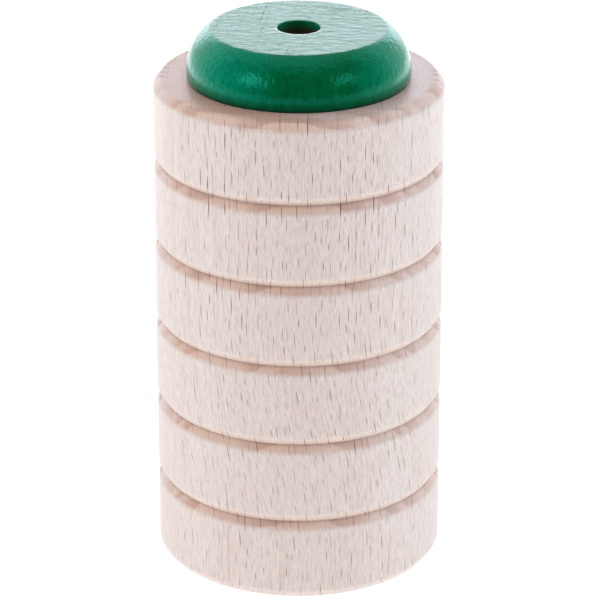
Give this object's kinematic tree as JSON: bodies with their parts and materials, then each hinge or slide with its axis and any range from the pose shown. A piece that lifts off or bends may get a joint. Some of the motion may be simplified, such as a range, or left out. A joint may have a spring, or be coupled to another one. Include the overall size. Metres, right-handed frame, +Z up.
{
  "type": "percussion shaker",
  "caption": "Hand shaker: a grooved round wooden body with a sealed chamber of loose steel balls, closed by a bung and a lacquered cap with a small centre hole.",
  "frame": {"origin": "middle of the flat base that the shaker stands on", "axes": "+Z up along the turning axis towards the cap; +X and +Y are alike"},
  "size_m": [0.04, 0.04, 0.077],
  "materials": {
    "beech": "turned and sanded natural beech, unvarnished, with brown ray flecks",
    "beech_inner": "plain cut beech, hidden inside",
    "green_lacquer": "green gloss lacquer over turned beech, with the grain showing in the film",
    "steel_ball": "polished steel balls"
  },
  "bodies": {
    "shell": {"body": "beech", "bung": "beech_inner", "dowel": "beech_inner", "cap": "green_lacquer"},
    "ball_01": {"ball_01": "steel_ball"},
    "ball_02": {"ball_02": "steel_ball"},
    "ball_03": {"ball_03": "steel_ball"},
    "ball_04": {"ball_04": "steel_ball"},
    "ball_05": {"ball_05": "steel_ball"},
    "ball_06": {"ball_06": "steel_ball"},
    "ball_07": {"ball_07": "steel_ball"},
    "ball_08": {"ball_08": "steel_ball"},
    "ball_09": {"ball_09": "steel_ball"},
    "ball_10": {"ball_10": "steel_ball"},
    "ball_11": {"ball_11": "steel_ball"},
    "ball_12": {"ball_12": "steel_ball"},
    "ball_13": {"ball_13": "steel_ball"},
    "ball_14": {"ball_14": "steel_ball"},
    "ball_15": {"ball_15": "steel_ball"},
    "ball_16": {"ball_16": "steel_ball"},
    "ball_17": {"ball_17": "steel_ball"},
    "ball_18": {"ball_18": "steel_ball"},
    "ball_19": {"ball_19": "steel_ball"}
  },
  "joints": [
    {"name": "ball_01_throw", "type": "slide", "parent": "shell", "child": "ball_01", "axis": [0, 0, 1], "range_m": [0, 0.0493]},
    {"name": "ball_02_throw", "type": "slide", "parent": "shell", "child": "ball_02", "axis": [0, 0, 1], "range_m": [0, 0.0493]},
    {"name": "ball_03_throw", "type": "slide", "parent": "shell", "child": "ball_03", "axis": [0, 0, 1], "range_m": [0, 0.0493]},
    {"name": "ball_04_throw", "type": "slide", "parent": "shell", "child": "ball_04", "axis": [0, 0, 1], "range_m": [0, 0.0493]},
    {"name": "ball_05_throw", "type": "slide", "parent": "shell", "child": "ball_05", "axis": [0, 0, 1], "range_m": [0, 0.0493]},
    {"name": "ball_06_throw", "type": "slide", "parent": "shell", "child": "ball_06", "axis": [0, 0, 1], "range_m": [0, 0.0493]},
    {"name": "ball_07_throw", "type": "slide", "parent": "shell", "child": "ball_07", "axis": [0, 0, 1], "range_m": [0, 0.0493]},
    {"name": "ball_08_throw", "type": "slide", "parent": "shell", "child": "ball_08", "axis": [0, 0, 1], "range_m": [0, 0.0493]},
    {"name": "ball_09_throw", "type": "slide", "parent": "shell", "child": "ball_09", "axis": [0, 0, 1], "range_m": [0, 0.0493]},
    {"name": "ball_10_throw", "type": "slide", "parent": "shell", "child": "ball_10", "axis": [0, 0, 1], "range_m": [0, 0.0493]},
    {"name": "ball_11_throw", "type": "slide", "parent": "shell", "child": "ball_11", "axis": [0, 0, 1], "range_m": [0, 0.0493]},
    {"name": "ball_12_throw", "type": "slide", "parent": "shell", "child": "ball_12", "axis": [0, 0, 1], "range_m": [0, 0.0493]},
    {"name": "ball_13_throw", "type": "slide", "parent": "shell", "child": "ball_13", "axis": [0, 0, 1], "range_m": [0, 0.0493]},
    {"name": "ball_14_throw", "type": "slide", "parent": "shell", "child": "ball_14", "axis": [0, 0, 1], "range_m": [0, 0.0493]},
    {"name": "ball_15_throw", "type": "slide", "parent": "shell", "child": "ball_15", "axis": [0, 0, 1], "range_m": [0, 0.0493]},
    {"name": "ball_16_throw", "type": "slide", "parent": "shell", "child": "ball_16", "axis": [0, 0, 1], "range_m": [0, 0.0493]},
    {"name": "ball_17_throw", "type": "slide", "parent": "shell", "child": "ball_17", "axis": [0, 0, 1], "range_m": [0, 0.0493]},
    {"name": "ball_18_throw", "type": "slide", "parent": "shell", "child": "ball_18", "axis": [0, 0, 1], "range_m": [0, 0.0493]},
    {"name": "ball_19_throw", "type": "slide", "parent": "shell", "child": "ball_19", "axis": [0, 0, 1], "range_m": [0, 0.0493]}
  ]
}
